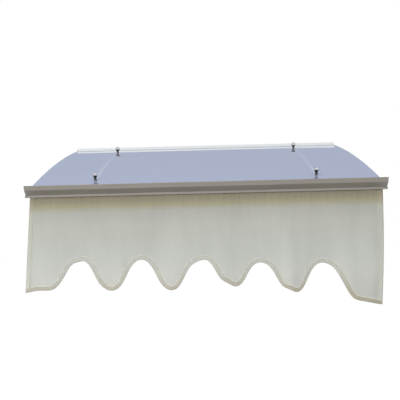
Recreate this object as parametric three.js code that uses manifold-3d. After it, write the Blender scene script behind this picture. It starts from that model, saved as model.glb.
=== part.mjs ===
// Polycarbonate door canopy: an arched sheet on two wall brackets, gripped by a rail at the wall
// and by a gutter rail at the front, with a scalloped fabric valance hanging from the gutter rail.
// Millimetres. The wall is the plane Y = 0 and the canopy reaches towards -Y; X runs along the
// wall and Z is up. The origin is on the wall, in the middle of the rear rail's fixing flange.
import * as THREE from "three";
import { mergeVertices } from "three/addons/utils/BufferGeometryUtils.js";
import Module from "manifold-3d";

const wasm = await Module();
wasm.setup();

// Overall sizes
const WIDTH = 1200; // front rail, end to end
const DEPTH = 1000; // wall to the lip of the front rail

// Clearances
const SEAT_GAP = 0.2; // between stacked pieces
const SLOT_GAP = 0.3; // on each face of the sheet in a rail's slot
const EDGE_GAP = 0.6; // at the sheet's edge, deep in a rail's slot
const HOLE_PLAY = 0.5; // around a bolt, on the radius
const THREAD_GAP = 0.2; // nut to bolt, on the radius
const ROD_PLAY = 0.3; // rod to the floor of its bore, and cloth to rod
const BORE_PLAY = 0.6; // rod in its bore, on the radius
const PLUG_PLAY = 0.4; // plug in the same bore, on the radius
const WEB_LAP = 1; // how far a web runs into the flange or plate that it carries

// Sheet
const SHEET_THICKNESS = 3;
const SHEET_INSET = 2; // sheet's side edge to the end of the front rail
const ARCH_RADIUS = 7000; // at mid thickness
const REAR_PITCH = THREE.MathUtils.degToRad(8.6); // slope of the sheet at the wall

// Rear rail
const REAR_PLATE = 3;
const REAR_FLANGE = 24; // fixing flange below the sheet's slot
const REAR_UPSTAND = 10; // above the upper lip
const RAIL_WALL = 2; // lips and walls of both rails
const REAR_UPPER_LIP = 20;
const REAR_LOWER_LIP = 24;
const SEAL_WIDTH = 10;
const SEAL_THICKNESS = 1.5;
const SEAL_POCKET = 1.6; // depth of the strip's pocket in the plate
const RAIL_HOLE = 6; // wall screw holes
const RAIL_HOLE_PITCH = 240;
const RAIL_HOLE_DROP = 5; // below the middle of the flange

// Front rail, measured from the sheet's front edge
const LIP_REACH = 38; // forward to the lip
const LIP_RISE = 19; // up to the top of the lip
const FASCIA_HEIGHT = 15;
const FASCIA_LEAN = 5.5;
const FRONT_UPPER_LIP = 16;
const FRONT_LOWER_LIP = 22;
const CHANNEL_FORWARD = 10; // front face of the keder channel
const CHANNEL_DROP = 12; // top of the keder channel's bore
const CHANNEL_ROOF = 1.5; // between the bore and the hollow above it
const CHANNEL_SIDE = 2.5;
const CHANNEL_FLOOR = 1.6; // under the bore, beside the slit
const KEDER_BORE = 6;
const KEDER_SLIT = 2.6;

// Clamp points
const CLAMP_SPACING = 780; // left bracket to right bracket
const CLAMP_SETBACK = 180; // lip of the front rail to the front bolts
const CLAMP_REAR = 157; // wall to the rear bolts
const BOLT_RADIUS = 3;
const BOLT_CHAMFER = 0.6;
const DOME_RADIUS = 9.5;
const DOME_HEIGHT = 10.6;
const DOME_BAND = 2; // straight side below the dome's curve
const COLLAR_HEIGHT = 13.6;
const COLLAR_RIM_RADIUS = 9;
const COLLAR_RIM_BAND = 0.8;
const COLLAR_FLARE = 5.5; // height of the bend from neck to rim
const COLLAR_WALL = 1; // at the neck
const COLLAR_FOOT_RADIUS = 5;
const COLLAR_FOOT = 1.2;
const TOP_WASHER_RADIUS = 5.6;
const TOP_WASHER_THICKNESS = 1;
const SEAL_WASHER_RADIUS = 6;
const SEAL_WASHER_THICKNESS = 1.2;
const LOWER_WASHER_RADIUS = 9;
const LOWER_WASHER_THICKNESS = 1.6;
const NUT_FLATS = 10;
const NUT_HEIGHT = 5;
const BOLT_TAIL = 3; // past the nut

// Brackets
const GASKET_WIDTH = 30;
const GASKET_THICKNESS = 2;
const ARM_WIDTH = 32;
const ARM_FLANGE = 5;
const ARM_DEPTH = 36; // top of the flange to the arm's lower edge
const ARM_TIP_DEPTH = 30;
const ARM_OVERHANG = 40; // past the front bolt
const ARM_REAR = 45; // wall to the back end of the arm's flange
const GASKET_INSET = 6; // gasket's rear end from the flange's rear end
const WEB = 8;
const WALL_RIB = 16; // rib on the wall plate, between arm and brace
const CORNER_FILLET = 90; // under the arm, at the wall rib
const BRACE_REACH = 600; // wall to where the brace leaves the arm
const BRACE_LEAD = 240; // how long the brace keeps the arm's direction
const BRACE_KNEE = 150; // how long it runs down the wall plate
const BRACE_DEPTH = 32;
const BRACE_WIDTH = 24;
const BRACE_FLANGE = 5;
const PLATE_WIDTH = 60;
const PLATE_HEIGHT = 275;
const PLATE_THICKNESS = 6;
const PLATE_CORNER = 10;
const PLATE_GAP = 3; // below the rear rail
const PLATE_HOLE = 9;
const PLATE_HOLE_INSET = 18; // from the plate's sides
const PLATE_HOLE_MARGIN = 24; // from the plate's top and bottom
const NUT_WINDOW_LENGTH = 30;
const NUT_WINDOW_HEIGHT = 15;

// Valance
const FABRIC = 1.2;
const VALANCE_INSET = 13; // side edge to the end of the rail
const VALANCE_DROP = 224; // slit's mouth to the middle scallop's crest
const SCALLOP_PITCH = 200;
const SCALLOP_DEPTH = 98;
const SCALLOP_FULLNESS = 0.6; // rounds crests and lobes more than a plain wave does
const SCALLOP_SHIFT = -21; // middle crest from the canopy's middle
const HEM_FALL = 0.034; // the hem hangs lower towards the right
const LAST_LOBE_EXTRA = 34; // the right end lobe is cut longer

// Plugs in the keder channel's ends
const PLUG_STEM = 12;
const PLUG_LEAD_IN = 0.8;
const PLUG_HEAD_RADIUS = 5;
const PLUG_HEAD = 4;

// Facets
const ARC_SEGMENTS = 8;
const SHEET_SEGMENTS = 16;
const ROUND_SEGMENTS = 24;
const CURVE_STEPS = 16;
const HEM_STEPS = 144;

const material = (color, roughness, metalness, extra = {}) =>
  new THREE.MeshStandardMaterial({ color, roughness, metalness, ...extra });
const tintedSheet = material(0xabb3c8, 0.12, 0, { transparent: true, opacity: 0.75 });
const champagneAluminium = material(0x948f88, 0.45, 0.6);
const paleAluminium = material(0xd9dde2, 0.5, 0.3);
const coatedCasting = material(0xd4d6d8, 0.55, 0);
const stainless = material(0xc8c9cb, 0.18, 1);
const rubber = material(0x2c2c2e, 0.8, 0);
const creamFabric = material(0xbcbba9, 0.9, 0);
const greyPlastic = material(0x77736d, 0.5, 0);

const canopy = new THREE.Group();

function addPiece(name, geometry, finish, parent = canopy) {
  const mesh = new THREE.Mesh(geometry, finish);
  mesh.name = name;
  parent.add(mesh);
}

// A closed geometry as a solid that can be joined and cut.
function solid(geometry) {
  const bare = geometry.clone();
  bare.deleteAttribute("normal");
  bare.deleteAttribute("uv");
  const merged = mergeVertices(bare, 1e-3);
  return new wasm.Manifold(
    new wasm.Mesh({
      numProp: 3,
      vertProperties: merged.attributes.position.array,
      triVerts: new Uint32Array(merged.index.array),
    }),
  );
}

function geometryOf(body) {
  const { vertProperties, triVerts } = body.getMesh();
  const geometry = new THREE.BufferGeometry();
  geometry.setAttribute("position", new THREE.BufferAttribute(vertProperties, 3));
  geometry.setIndex(new THREE.BufferAttribute(triVerts, 1));
  geometry.computeVertexNormals();
  return geometry;
}

const X_AXIS = new THREE.Vector3(1, 0, 0);
const Y_AXIS = new THREE.Vector3(0, 1, 0);
const Z_AXIS = new THREE.Vector3(0, 0, 1);
const SECTION_AXES = new THREE.Matrix4().makeBasis(Y_AXIS, Z_AXIS, X_AXIS);
const ELEVATION_AXES = new THREE.Matrix4().makeBasis(X_AXIS, Z_AXIS, Y_AXIS.clone().negate());

function extrude(shape, depth, curveSegments = ARC_SEGMENTS) {
  return new THREE.ExtrudeGeometry(shape, { depth, bevelEnabled: false, curveSegments });
}

// A section drawn in Y and Z, extruded along X and centred on x.
function alongX(section, length, x = 0, curveSegments = ARC_SEGMENTS) {
  return extrude(section, length, curveSegments)
    .translate(0, 0, -length / 2)
    .applyMatrix4(SECTION_AXES)
    .translate(x, 0, 0);
}

// An outline drawn in X and Z, extruded forward from y.
function forwardFrom(y, outline, depth) {
  return extrude(outline, depth).applyMatrix4(ELEVATION_AXES).translate(0, y, 0);
}

const roundBar = (radius, length) =>
  new THREE.CylinderGeometry(radius, radius, length, ROUND_SEGMENTS);

const ring = (outer, inner, low, high) =>
  new THREE.LatheGeometry(
    [
      new THREE.Vector2(inner, low),
      new THREE.Vector2(outer, low),
      new THREE.Vector2(outer, high),
      new THREE.Vector2(inner, high),
      new THREE.Vector2(inner, low),
    ],
    ROUND_SEGMENTS,
  ).rotateX(Math.PI / 2);

// The arch: the sheet's middle surface is part of a cylinder along X.
const rearEdge = new THREE.Vector2(-REAR_PLATE - EDGE_GAP, REAR_FLANGE / 2);
const archCentre = new THREE.Vector2(
  rearEdge.x + ARCH_RADIUS * Math.sin(REAR_PITCH),
  rearEdge.y - ARCH_RADIUS * Math.cos(REAR_PITCH),
);
const pitchAt = (y) => Math.asin((archCentre.x - y) / ARCH_RADIUS);

// The point of the arch at y, moved by height along the sheet's normal.
function onArch(y, height = 0) {
  const pitch = pitchAt(y);
  const radius = ARCH_RADIUS + height;
  return new THREE.Vector2(
    archCentre.x - radius * Math.sin(pitch),
    archCentre.y + radius * Math.cos(pitch),
  );
}

// A section between two heights that follows the arch from front to rear.
function archStrip(front, rear, low, high) {
  const angle = (y) => Math.PI / 2 + pitchAt(y);
  const { x, y } = archCentre;
  const strip = new THREE.Shape();
  strip.absarc(x, y, ARCH_RADIUS + high, angle(front), angle(rear), true);
  strip.absarc(x, y, ARCH_RADIUS + low, angle(rear), angle(front), false);
  return strip;
}

// Points beside an edge of the sheet: inward along the sheet, and up along its normal.
function besideEdge(edge, pitch, inwardY) {
  const inward = new THREE.Vector2(Math.cos(pitch), Math.sin(pitch)).multiplyScalar(inwardY);
  const up = new THREE.Vector2(-Math.sin(pitch), Math.cos(pitch));
  return (along, height) =>
    edge.clone().addScaledVector(inward, along).addScaledVector(up, height);
}

const halfSheet = SHEET_THICKNESS / 2;
const halfSlot = halfSheet + SLOT_GAP;
const frontEdge = onArch(-DEPTH + LIP_REACH);
const frontPitch = pitchAt(frontEdge.x);
const gasketTop = -halfSheet - SEAT_GAP;
const armTop = gasketTop - GASKET_THICKNESS - SEAT_GAP;
const armUnderside = armTop - ARM_FLANGE;

// Clamp points: a group on the sheet's top at each bolt, with its Z along the sheet's normal.
const bracketPlaces = { left: -CLAMP_SPACING / 2, right: CLAMP_SPACING / 2 };
const clamps = [];
for (const [side, x] of Object.entries(bracketPlaces)) {
  for (const [row, reach] of [["front", DEPTH - CLAMP_SETBACK], ["rear", CLAMP_REAR]]) {
    const place = onArch(-reach, halfSheet);
    const group = new THREE.Group();
    group.position.set(x, place.x, place.y);
    group.rotation.x = pitchAt(-reach);
    group.updateMatrix();
    canopy.add(group);
    clamps.push({ name: `${row}_${side}`, x, group });
  }
}

// Bolt holes through whatever lies under the clamp points.
function drillClamps(body, points) {
  const reach = 2 * (ARM_FLANGE + GASKET_THICKNESS + SHEET_THICKNESS);
  return points.reduce((left, { group }) => {
    const drill = roundBar(BOLT_RADIUS + HOLE_PLAY, 2 * reach).rotateX(Math.PI / 2);
    return left.subtract(solid(drill.applyMatrix4(group.matrix)));
  }, body);
}

// Sheet
const sheetWidth = WIDTH - 2 * SHEET_INSET;
const sheetSection = archStrip(frontEdge.x, rearEdge.x, -halfSheet, halfSheet);
const sheetBlank = solid(alongX(sheetSection, sheetWidth, 0, SHEET_SEGMENTS));
addPiece("canopy_sheet", geometryOf(drillClamps(sheetBlank, clamps)), tintedSheet);

// Rear rail: a wall plate with two lips around the sheet's edge and a pocket for the wall seal.
function rearRailSection() {
  const at = besideEdge(rearEdge, REAR_PITCH, -1);
  const lipRoot = (height) => {
    const start = at(0, height);
    return new THREE.Vector2(-REAR_PLATE, start.y + (-REAR_PLATE - start.x) * Math.tan(REAR_PITCH));
  };
  const top = lipRoot(halfSlot + RAIL_WALL).y + REAR_UPSTAND;
  const pocketTop = top - RAIL_WALL;
  const pocketFloor = pocketTop - SEAL_WIDTH - 2 * SEAT_GAP;
  const section = new THREE.Shape([
    new THREE.Vector2(0, -REAR_FLANGE / 2),
    new THREE.Vector2(0, pocketFloor),
    new THREE.Vector2(-SEAL_POCKET, pocketFloor),
    new THREE.Vector2(-SEAL_POCKET, pocketTop),
    new THREE.Vector2(0, pocketTop),
    new THREE.Vector2(0, top),
    new THREE.Vector2(-REAR_PLATE, top),
    lipRoot(halfSlot + RAIL_WALL),
    at(REAR_UPPER_LIP, halfSlot + RAIL_WALL),
    at(REAR_UPPER_LIP, halfSlot),
    lipRoot(halfSlot),
    lipRoot(-halfSlot),
    at(REAR_LOWER_LIP, -halfSlot),
    at(REAR_LOWER_LIP, -halfSlot - RAIL_WALL),
    lipRoot(-halfSlot - RAIL_WALL),
    new THREE.Vector2(-REAR_PLATE, -REAR_FLANGE / 2),
  ]);
  return { section, sealMiddle: (pocketTop + pocketFloor) / 2 };
}
const { section: rearSection, sealMiddle } = rearRailSection();
let rearRail = solid(alongX(rearSection, sheetWidth));
const railHoleSteps = Math.floor((sheetWidth / 2 - RAIL_HOLE_PITCH / 2) / RAIL_HOLE_PITCH);
for (let step = -railHoleSteps - 0.5; step <= railHoleSteps + 0.5; step += 1) {
  const hole = roundBar(RAIL_HOLE / 2, 4 * REAR_PLATE);
  rearRail = rearRail.subtract(solid(hole.translate(step * RAIL_HOLE_PITCH, 0, -RAIL_HOLE_DROP)));
}
addPiece("rear_wall_rail", geometryOf(rearRail), paleAluminium);

const sealStrip = new THREE.BoxGeometry(sheetWidth, SEAL_THICKNESS, SEAL_WIDTH);
addPiece("wall_seal_strip", sealStrip.translate(0, -SEAL_THICKNESS / 2, sealMiddle), rubber);

// Front rail: leaning lip, water trough, slot for the sheet, hollow neck and keder channel.
const channelWidth = KEDER_BORE + 2 * CHANNEL_SIDE;
const boreCentre = new THREE.Vector2(
  frontEdge.x - CHANNEL_FORWARD + channelWidth / 2,
  frontEdge.y - CHANNEL_DROP - KEDER_BORE / 2,
);
const channelBottom = boreCentre.y - KEDER_BORE / 2 - CHANNEL_FLOOR;

function frontRailSection() {
  const at = besideEdge(frontEdge, frontPitch, 1);
  const point = (y, z) => new THREE.Vector2(frontEdge.x + y, frontEdge.y + z);
  const left = (a, b) => b.clone().sub(a).normalize().rotateAround(new THREE.Vector2(), Math.PI / 2);
  const lip = point(-LIP_REACH, LIP_RISE);
  const fascia = point(-LIP_REACH + FASCIA_LEAN, LIP_RISE - FASCIA_HEIGHT);
  const soffit = point(-CHANNEL_FORWARD, -CHANNEL_DROP);
  const channelRear = soffit.x + channelWidth;

  // Inner faces of the lip and the soffit, one wall thickness inside the outer ones
  const lipSide = left(lip, fascia);
  const soffitSide = left(fascia, soffit);
  const troughFront = fascia
    .clone()
    .addScaledVector(lipSide.clone().add(soffitSide), RAIL_WALL / (1 + lipSide.dot(soffitSide)));
  const troughRear = soffit.clone().addScaledVector(soffitSide, RAIL_WALL);
  const slotFront = -EDGE_GAP - RAIL_WALL;
  const slotFoot = at(slotFront, -halfSlot - RAIL_WALL);

  // Where the neck's rear wall meets the slot's lower lip
  const lipFoot = at(0, -halfSlot - RAIL_WALL);
  const neckTop = lipFoot.y + (channelRear - lipFoot.x) * Math.tan(frontPitch);

  const halfSlit = KEDER_SLIT / 2;
  const mouth = Math.acos(halfSlit / (KEDER_BORE / 2));
  const section = new THREE.Shape([
    fascia,
    soffit,
    new THREE.Vector2(soffit.x, channelBottom),
    new THREE.Vector2(boreCentre.x - halfSlit, channelBottom),
  ]);
  section.absarc(boreCentre.x, boreCentre.y, KEDER_BORE / 2, Math.PI + mouth, -mouth, true);
  for (const corner of [
    new THREE.Vector2(boreCentre.x + halfSlit, channelBottom),
    new THREE.Vector2(channelRear, channelBottom),
    new THREE.Vector2(channelRear, neckTop),
    at(FRONT_LOWER_LIP, -halfSlot - RAIL_WALL),
    at(FRONT_LOWER_LIP, -halfSlot),
    at(-EDGE_GAP, -halfSlot),
    at(-EDGE_GAP, halfSlot),
    at(FRONT_UPPER_LIP, halfSlot),
    at(FRONT_UPPER_LIP, halfSlot + RAIL_WALL),
    at(slotFront, halfSlot + RAIL_WALL),
    slotFoot,
    troughRear,
    troughFront,
  ]) {
    section.lineTo(corner.x, corner.y);
  }
  const crown = lip.clone().addScaledVector(lipSide, RAIL_WALL / 2);
  crown.addScaledVector(fascia.clone().sub(lip).normalize(), RAIL_WALL / 2);
  const leanAngle = lipSide.angle();
  section.absarc(crown.x, crown.y, RAIL_WALL / 2, leanAngle, leanAngle + Math.PI);

  // Hollow of the neck, one wall thickness from its three sides
  const slope = slotFoot.clone().sub(troughRear);
  const wallLine = troughRear.clone().addScaledVector(left(troughRear, slotFoot), -RAIL_WALL);
  const heightAt = (y) => wallLine.y + ((y - wallLine.x) * slope.y) / slope.x;
  const hollowRear = channelRear - RAIL_WALL;
  const hollowFloor = soffit.y + CHANNEL_ROOF;
  const hollowFront = wallLine.x + ((hollowFloor - wallLine.y) * slope.x) / slope.y;
  section.holes.push(
    new THREE.Path([
      new THREE.Vector2(hollowFront, hollowFloor),
      new THREE.Vector2(hollowRear, hollowFloor),
      new THREE.Vector2(hollowRear, heightAt(hollowRear)),
    ]),
  );
  return section;
}
addPiece("front_gutter_rail", alongX(frontRailSection(), WIDTH), champagneAluminium);

// Clamp stacks, from the dome down to the nut
const collarSeat = 3 * SEAT_GAP + SEAL_WASHER_THICKNESS + TOP_WASHER_THICKNESS;
const domeSeat = collarSeat + COLLAR_HEIGHT + SEAT_GAP;
const lowerSeat = armUnderside - halfSheet - SEAT_GAP;
const nutTop = lowerSeat - LOWER_WASHER_THICKNESS - SEAT_GAP;
const boltEnd = nutTop - NUT_HEIGHT - BOLT_TAIL;

function domeBolt() {
  const crown = domeSeat + DOME_HEIGHT;
  const outline = new THREE.Path();
  outline.moveTo(0, boltEnd);
  outline.lineTo(BOLT_RADIUS - BOLT_CHAMFER, boltEnd);
  outline.lineTo(BOLT_RADIUS, boltEnd + BOLT_CHAMFER);
  outline.lineTo(BOLT_RADIUS, domeSeat);
  outline.lineTo(DOME_RADIUS, domeSeat);
  outline.lineTo(DOME_RADIUS, domeSeat + DOME_BAND);
  outline.quadraticCurveTo(DOME_RADIUS, crown, 0, crown);
  return new THREE.LatheGeometry(outline.getPoints(6), ROUND_SEGMENTS).rotateX(Math.PI / 2);
}

// The collar under the dome: a foot, a thin neck and a flared rim around the bolt.
function flareCollar() {
  const bore = BOLT_RADIUS + THREAD_GAP;
  const neck = bore + COLLAR_WALL;
  const top = collarSeat + COLLAR_HEIGHT;
  const rim = top - COLLAR_RIM_BAND;
  const outline = new THREE.Path();
  outline.moveTo(bore, collarSeat);
  outline.lineTo(COLLAR_FOOT_RADIUS, collarSeat);
  outline.lineTo(COLLAR_FOOT_RADIUS, collarSeat + COLLAR_FOOT);
  outline.lineTo(neck, collarSeat + 2 * COLLAR_FOOT);
  outline.quadraticCurveTo(neck, rim - COLLAR_FLARE, COLLAR_RIM_RADIUS, rim);
  outline.lineTo(COLLAR_RIM_RADIUS, top);
  outline.lineTo(bore, top);
  outline.lineTo(bore, collarSeat);
  return new THREE.LatheGeometry(outline.getPoints(6), ROUND_SEGMENTS).rotateX(Math.PI / 2);
}

function hexNut() {
  const corner = NUT_FLATS / Math.sqrt(3);
  const hexagon = new THREE.Shape();
  for (let i = 0; i < 6; i += 1) {
    const angle = (i * Math.PI) / 3;
    const step = i === 0 ? "moveTo" : "lineTo";
    hexagon[step](corner * Math.cos(angle), corner * Math.sin(angle));
  }
  const hole = new THREE.Path();
  hole.absarc(0, 0, BOLT_RADIUS + THREAD_GAP, 0, 2 * Math.PI);
  hexagon.holes.push(hole);
  const chamfer = corner - NUT_FLATS / 2;
  const barrel = new THREE.LatheGeometry(
    [
      new THREE.Vector2(0, 0),
      new THREE.Vector2(NUT_FLATS / 2, 0),
      new THREE.Vector2(corner, chamfer),
      new THREE.Vector2(corner, NUT_HEIGHT - chamfer),
      new THREE.Vector2(NUT_FLATS / 2, NUT_HEIGHT),
      new THREE.Vector2(0, NUT_HEIGHT),
    ],
    ROUND_SEGMENTS,
  ).rotateX(Math.PI / 2);
  const nut = solid(extrude(hexagon, NUT_HEIGHT)).intersect(solid(barrel));
  return geometryOf(nut).translate(0, 0, nutTop - NUT_HEIGHT);
}

for (const { name, group } of clamps) {
  const hole = BOLT_RADIUS + HOLE_PLAY;
  const sealTop = SEAT_GAP + SEAL_WASHER_THICKNESS;
  const washerLow = sealTop + SEAT_GAP;
  addPiece(`clamp_bolt_${name}`, domeBolt(), stainless, group);
  addPiece(`flare_collar_${name}`, flareCollar(), rubber, group);
  addPiece(
    `top_washer_${name}`,
    ring(TOP_WASHER_RADIUS, hole, washerLow, washerLow + TOP_WASHER_THICKNESS),
    stainless,
    group,
  );
  addPiece(`seal_washer_${name}`, ring(SEAL_WASHER_RADIUS, hole, SEAT_GAP, sealTop), rubber, group);
  addPiece(
    `lower_washer_${name}`,
    ring(LOWER_WASHER_RADIUS, hole, lowerSeat - LOWER_WASHER_THICKNESS, lowerSeat),
    stainless,
    group,
  );
  addPiece(`clamp_nut_${name}`, hexNut(), stainless, group);
}

// Brackets: a wall plate, an arm that follows the arch, and a curved brace, cast as one piece.
const armTip = -DEPTH + CLAMP_SETBACK - ARM_OVERHANG;
const plateTop = -REAR_FLANGE / 2 - PLATE_GAP;
const plateBottom = plateTop - PLATE_HEIGHT;

function armWebSection() {
  const { x, y } = archCentre;
  const angle = (place) => Math.PI / 2 + pitchAt(place);
  const upper = ARCH_RADIUS + armUnderside + WEB_LAP;
  const lower = ARCH_RADIUS + armTop - ARM_DEPTH;
  const nose = onArch(armTip + ARM_WIDTH / 4, armUnderside + WEB_LAP);
  const chin = onArch(armTip + ARM_WIDTH / 4, armTop - ARM_TIP_DEPTH);
  const chinBack = onArch(armTip + ARM_WIDTH, armTop - ARM_TIP_DEPTH);
  const web = new THREE.Shape();
  web.moveTo(nose.x, nose.y);
  web.absarc(x, y, upper, angle(armTip + ARM_WIDTH / 4), angle(-ARM_REAR), true);
  web.absarc(x, y, lower, angle(-ARM_REAR), angle(-BRACE_REACH), false);
  web.lineTo(chinBack.x, chinBack.y);
  web.quadraticCurveTo(chin.x, chin.y, nose.x, nose.y);
  return web;
}

// The arm's flange: a strip along the arch whose front end is rounded in plan.
function armFlange(x) {
  const half = ARM_WIDTH / 2;
  const plan = new THREE.Shape();
  plan.moveTo(x + half, 0);
  plan.lineTo(x - half, 0);
  plan.absarc(x, armTip + half, half, Math.PI, 2 * Math.PI);
  const column = extrude(plan, 2 * DEPTH).translate(0, 0, -DEPTH);
  const strip = archStrip(armTip, -ARM_REAR, armUnderside, armTop);
  return solid(alongX(strip, ARM_WIDTH, x)).intersect(solid(column));
}

// A band beside a curve, from the curve to a distance on its left.
function band(curve, width) {
  const edge = (distance) =>
    Array.from({ length: CURVE_STEPS + 1 }, (_, i) => {
      const place = curve.getPoint(i / CURVE_STEPS);
      const tangent = curve.getTangent(i / CURVE_STEPS);
      return new THREE.Vector2(place.x - tangent.y * distance, place.y + tangent.x * distance);
    });
  return new THREE.Shape([...edge(0), ...edge(width).reverse()]);
}

// The rib on the wall plate, with its head filleted into the arm above it.
function wallRibSection(foot) {
  const face = -PLATE_THICKNESS - WALL_RIB;
  const inPlate = WEB_LAP - PLATE_THICKNESS;
  const armRoot = onArch(-ARM_REAR, armUnderside + WEB_LAP);
  const armBelow = onArch(-ARM_REAR - CORNER_FILLET, armTop - ARM_DEPTH + WEB_LAP);
  const armAbove = onArch(-ARM_REAR - CORNER_FILLET, armUnderside);
  const rib = new THREE.Shape();
  rib.moveTo(inPlate, plateTop - PLATE_CORNER);
  rib.lineTo(face, plateTop - WEB_LAP);
  rib.lineTo(armRoot.x, armRoot.y);
  rib.lineTo(armAbove.x, armAbove.y);
  rib.lineTo(armBelow.x, armBelow.y);
  rib.quadraticCurveTo(face, onArch(face, armTop - ARM_DEPTH).y, face, armBelow.y - CORNER_FILLET);
  rib.lineTo(face, foot);
  rib.lineTo(inPlate, foot);
  return rib;
}

// Outline of the wall plate around x, with rounded corners and screw holes.
function plateOutline(x) {
  const half = PLATE_WIDTH / 2;
  const [leftSide, rightSide] = [x - half, x + half];
  const r = PLATE_CORNER;
  const plate = new THREE.Shape();
  plate.absarc(rightSide - r, plateTop - r, r, 0, Math.PI / 2);
  plate.absarc(leftSide + r, plateTop - r, r, Math.PI / 2, Math.PI);
  plate.absarc(leftSide + r, plateBottom + r, r, Math.PI, 1.5 * Math.PI);
  plate.absarc(rightSide - r, plateBottom + r, r, 1.5 * Math.PI, 2 * Math.PI);
  for (const holeX of [leftSide + PLATE_HOLE_INSET, rightSide - PLATE_HOLE_INSET]) {
    for (const holeZ of [plateTop - PLATE_HOLE_MARGIN, plateBottom + PLATE_HOLE_MARGIN]) {
      const hole = new THREE.Path();
      hole.absarc(holeX, holeZ, PLATE_HOLE / 2, 0, 2 * Math.PI, true);
      plate.holes.push(hole);
    }
  }
  return plate;
}

function bracket(x) {
  const wallSide = -PLATE_THICKNESS - BRACE_DEPTH;
  const foot = plateBottom + PLATE_CORNER;
  const start = onArch(-BRACE_REACH, armTop - ARM_DEPTH + WEB_LAP);
  const brace = new THREE.CubicBezierCurve(
    start,
    onArch(BRACE_LEAD - BRACE_REACH, armTop - ARM_DEPTH - BRACE_DEPTH),
    new THREE.Vector2(wallSide, foot + BRACE_KNEE),
    new THREE.Vector2(wallSide, foot),
  );
  let body = solid(forwardFrom(0, plateOutline(x), PLATE_THICKNESS)).add(armFlange(x));
  for (const [section, width] of [
    [armWebSection(), WEB],
    [wallRibSection(foot), WEB],
    [band(brace, BRACE_DEPTH + WEB_LAP), WEB],
    [band(brace, BRACE_FLANGE), BRACE_WIDTH],
  ]) {
    body = body.add(solid(alongX(section, width, x)));
  }
  const points = clamps.filter((clamp) => clamp.x === x);
  for (const { group } of points) {
    const window = new THREE.BoxGeometry(2 * WEB, NUT_WINDOW_LENGTH, NUT_WINDOW_HEIGHT);
    window.translate(0, 0, armUnderside - halfSheet - NUT_WINDOW_HEIGHT / 2);
    body = body.subtract(solid(window.applyMatrix4(group.matrix)));
  }
  return geometryOf(drillClamps(body, points));
}

function armGasket(x) {
  const front = armTip + ARM_WIDTH / 2;
  const rear = -ARM_REAR - GASKET_INSET;
  const strip = archStrip(front, rear, gasketTop - GASKET_THICKNESS, gasketTop);
  const points = clamps.filter((clamp) => clamp.x === x);
  return geometryOf(drillClamps(solid(alongX(strip, GASKET_WIDTH, x)), points));
}

for (const [side, x] of Object.entries(bracketPlaces)) {
  addPiece(`bracket_${side}`, bracket(x), coatedCasting);
  addPiece(`arm_gasket_${side}`, armGasket(x), rubber);
}

// Valance: a flat cloth with a scalloped hem, held in the keder channel by its rod.
const rodRadius = KEDER_BORE / 2 - BORE_PLAY;
const rodCentre = boreCentre.y - KEDER_BORE / 2 + rodRadius + ROD_PLAY;

function valanceOutline() {
  const half = WIDTH / 2 - VALANCE_INSET;
  const sideCrests = Math.floor((half - SCALLOP_PITCH / 2) / SCALLOP_PITCH);
  const crestHeight = (x) => channelBottom - VALANCE_DROP - HEM_FALL * (x - SCALLOP_SHIFT);
  const hemHeight = (x) => {
    const turns = (x - SCALLOP_SHIFT) / SCALLOP_PITCH;
    const pastLast = Math.abs(turns) > sideCrests + 0.5;
    const wave = Math.cos(2 * Math.PI * turns);
    const fullWave = ((1 + SCALLOP_FULLNESS) * wave) / (1 + SCALLOP_FULLNESS * Math.abs(wave));
    const lobe = pastLast ? 1 : (1 - fullWave) / 2;
    const extra = turns > sideCrests ? LAST_LOBE_EXTRA : 0;
    return crestHeight(x) - lobe * (SCALLOP_DEPTH + extra);
  };
  const top = rodCentre - rodRadius - ROD_PLAY;
  const outline = new THREE.Shape();
  outline.moveTo(half, top);
  outline.lineTo(-half, top);
  for (let i = 0; i <= HEM_STEPS; i += 1) {
    const x = -half + (2 * half * i) / HEM_STEPS;
    outline.lineTo(x, hemHeight(x));
  }
  return outline;
}
addPiece("valance", forwardFrom(boreCentre.x + FABRIC / 2, valanceOutline(), FABRIC), creamFabric);

const rodLength = WIDTH - 2 * (PLUG_STEM + 2 * SEAT_GAP);
const rod = roundBar(rodRadius, rodLength).rotateZ(Math.PI / 2);
addPiece("valance_keder", rod.translate(0, boreCentre.x, rodCentre), greyPlastic);

function endPlug() {
  const stem = KEDER_BORE / 2 - PLUG_PLAY;
  const outline = new THREE.Path();
  outline.moveTo(0, -PLUG_STEM);
  outline.lineTo(stem - PLUG_LEAD_IN, -PLUG_STEM);
  outline.lineTo(stem, 2 * PLUG_LEAD_IN - PLUG_STEM);
  outline.lineTo(stem, SEAT_GAP);
  outline.lineTo(PLUG_HEAD_RADIUS, SEAT_GAP);
  outline.quadraticCurveTo(PLUG_HEAD_RADIUS, PLUG_HEAD, 0, PLUG_HEAD);
  return new THREE.LatheGeometry(outline.getPoints(4), ROUND_SEGMENTS);
}
for (const [side, direction] of [["left", -1], ["right", 1]]) {
  const plug = endPlug().rotateZ((-direction * Math.PI) / 2);
  plug.translate((direction * WIDTH) / 2, boreCentre.x, boreCentre.y);
  addPiece(`rail_end_plug_${side}`, plug, greyPlastic);
}

export default canopy;
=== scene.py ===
# %% [markdown]
# # A polycarbonate door canopy
#
# The canopy is an arched tinted sheet on two cast brackets. An aluminium rail grips it at the wall,
# a gutter rail closes its front edge, and a scalloped cloth valance hangs from the gutter rail.
# The CAD model already holds every rigid shape at its real size, so this lesson loads it as a fixed
# frame. What is left to do here is what CAD leaves plain: finishes, soft edges, sewn cloth and light.

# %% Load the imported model
import math

import bmesh
import bpy
from mathutils import Matrix, Vector


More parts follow.
